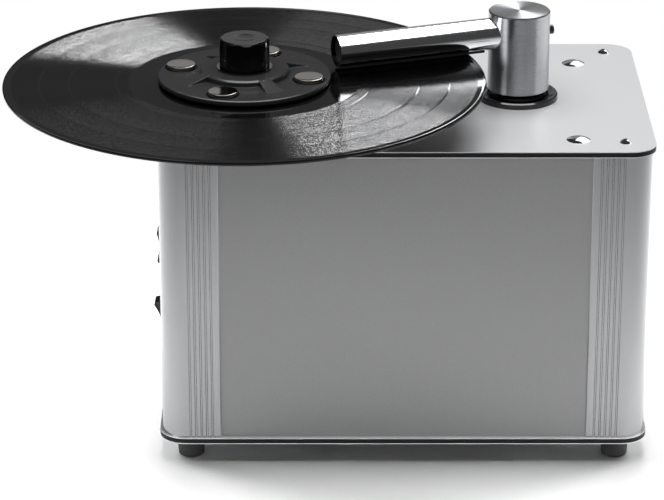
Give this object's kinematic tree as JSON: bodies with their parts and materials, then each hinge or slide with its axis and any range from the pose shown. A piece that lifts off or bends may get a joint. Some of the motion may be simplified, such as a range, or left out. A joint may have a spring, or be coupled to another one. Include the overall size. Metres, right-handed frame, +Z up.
{
  "type": "record cleaning machine",
  "caption": "Desktop vacuum record cleaner: fluted aluminium cabinet, overhanging record on a spindle under a magnet clamp, swinging suction arm with felt lips.",
  "frame": {"origin": "on the floor, under the centre of the cabinet's four feet", "axes": "+X to the user's right, +Y to the rear, +Z up; the record overhangs towards -X and -Y"},
  "size_m": [0.4068, 0.3582, 0.2716],
  "materials": {
    "plate_skin": "satin",
    "plate_core": "satin",
    "post_aluminium": "satin",
    "panel_aluminium": "satin",
    "foot_rubber": "matte",
    "screw_chrome": "polished",
    "zinc_steel": "satin",
    "shaft_steel": "polished",
    "bronze": "satin",
    "gear_nylon": "satin",
    "motor_steel": "satin",
    "platter_black": "satin",
    "mat_rubber": "matte",
    "vinyl": "glossy",
    "clamp_black": "satin",
    "magnet_nickel": "polished",
    "washer_chrome": "polished",
    "knob_black": "satin",
    "head_aluminium": "brushed",
    "tube_aluminium": "polished",
    "felt": "matte",
    "arm_plastic": "satin",
    "ring_gloss": "glossy",
    "tank_plastic": "satin",
    "blower_plastic": "satin",
    "switch_black": "satin",
    "fitting_black": "satin",
    "board_green": "satin"
  },
  "bodies": {
    "housing": {"top_plate_core": "plate_core", "top_plate_skins": "plate_skin", "bottom_plate_core": "plate_core", "bottom_plate_skins": "plate_skin", "post_front_left": "post_aluminium", "post_front_right": "post_aluminium", "post_rear_left": "post_aluminium", "post_rear_right": "post_aluminium", "front_panel": "panel_aluminium", "rear_panel": "panel_aluminium", "left_panel": "panel_aluminium", "right_panel": "panel_aluminium", "feet": "foot_rubber", "top_screws": "screw_chrome", "countersunk_screws": "screw_chrome", "coach_bolts": "screw_chrome", "coach_nuts": "zinc_steel", "tank_hangers": "zinc_steel", "tank_body": "tank_plastic", "tank_seal": "mat_rubber", "tank_lid": "tank_plastic", "arm_seal": "mat_rubber", "suction_duct": "blower_plastic", "blower_mount": "mat_rubber", "blower_motor": "motor_steel", "blower_shroud": "blower_plastic", "spindle_bushes": "bronze", "drive_plate": "zinc_steel", "drive_pillars": "zinc_steel", "drive_motor": "motor_steel", "arm_bush": "arm_plastic", "arm_ring": "ring_gloss", "switch_bodies": "switch_black", "mains_inlet": "fitting_black", "inlet_screws": "screw_chrome", "drain_tap": "fitting_black", "control_board": "board_green"},
    "turntable": {"spindle_shaft": "shaft_steel", "spindle_gear": "gear_nylon", "platter": "platter_black", "platter_mat": "mat_rubber", "record": "vinyl"},
    "clamp": {"clamp_disc": "clamp_black", "clamp_seal": "mat_rubber", "clamp_magnets": "magnet_nickel", "clamp_washer": "washer_chrome", "clamp_knob": "knob_black"},
    "motor_rotor": {"motor_shaft": "shaft_steel", "drive_pinion": "gear_nylon"},
    "fan": {"impeller": "blower_plastic"},
    "arm_lift": {"riser_sleeve": "arm_plastic"},
    "arm": {"arm_head": "head_aluminium", "arm_tube": "tube_aluminium", "felt_lips": "felt", "arm_end_plug": "arm_plastic", "arm_lock_screw": "arm_plastic", "arm_pipe": "tube_aluminium"},
    "motor_switch": {"motor_rocker": "switch_black"},
    "vacuum_switch": {"vacuum_rocker": "switch_black"},
    "tap": {"drain_lever": "fitting_black"}
  },
  "joints": [
    {"name": "turntable_spin", "type": "hinge", "parent": "housing", "child": "turntable", "pos_m": [-0.1, -0.0665, 0.2], "axis": [0, 0, 1], "continuous": true},
    {"name": "clamp_lift_off", "type": "slide", "parent": "turntable", "child": "clamp", "axis": [0, 0, 1], "range_m": [0, 0.05]},
    {"name": "motor_spin", "type": "hinge", "parent": "housing", "child": "motor_rotor", "pos_m": [-0.1, -0.0274, 0.18], "axis": [0, 0, 1], "continuous": true},
    {"name": "fan_spin", "type": "hinge", "parent": "housing", "child": "fan", "pos_m": [-0.072, 0.044, 0.115], "axis": [0, 0, 1], "continuous": true},
    {"name": "arm_raise", "type": "slide", "parent": "housing", "child": "arm_lift", "axis": [0, 0, 1], "range_m": [0, 0.012]},
    {"name": "arm_swing", "type": "hinge", "parent": "arm_lift", "child": "arm", "pos_m": [0.0744, -0.003, 0.24], "axis": [0, 0, 1], "range_deg": [-110, 70]},
    {"name": "motor_switch_rock", "type": "hinge", "parent": "housing", "child": "motor_switch", "pos_m": [-0.1529, -0.05, 0.1268], "axis": [0, 1, 0], "range_deg": [-16.5, 16.5]},
    {"name": "vacuum_switch_rock", "type": "hinge", "parent": "housing", "child": "vacuum_switch", "pos_m": [-0.1529, -0.05, 0.0787], "axis": [0, 1, 0], "range_deg": [0, 33]},
    {"name": "tap_turn", "type": "hinge", "parent": "housing", "child": "tap", "pos_m": [0.075, 0.1169, 0.038], "axis": [0, 0, 1], "range_deg": [0, 90]}
  ],
  "couplings": [
    {"joint": "motor_spin", "follows": "turntable_spin", "ratio": -3.3333}
  ]
}
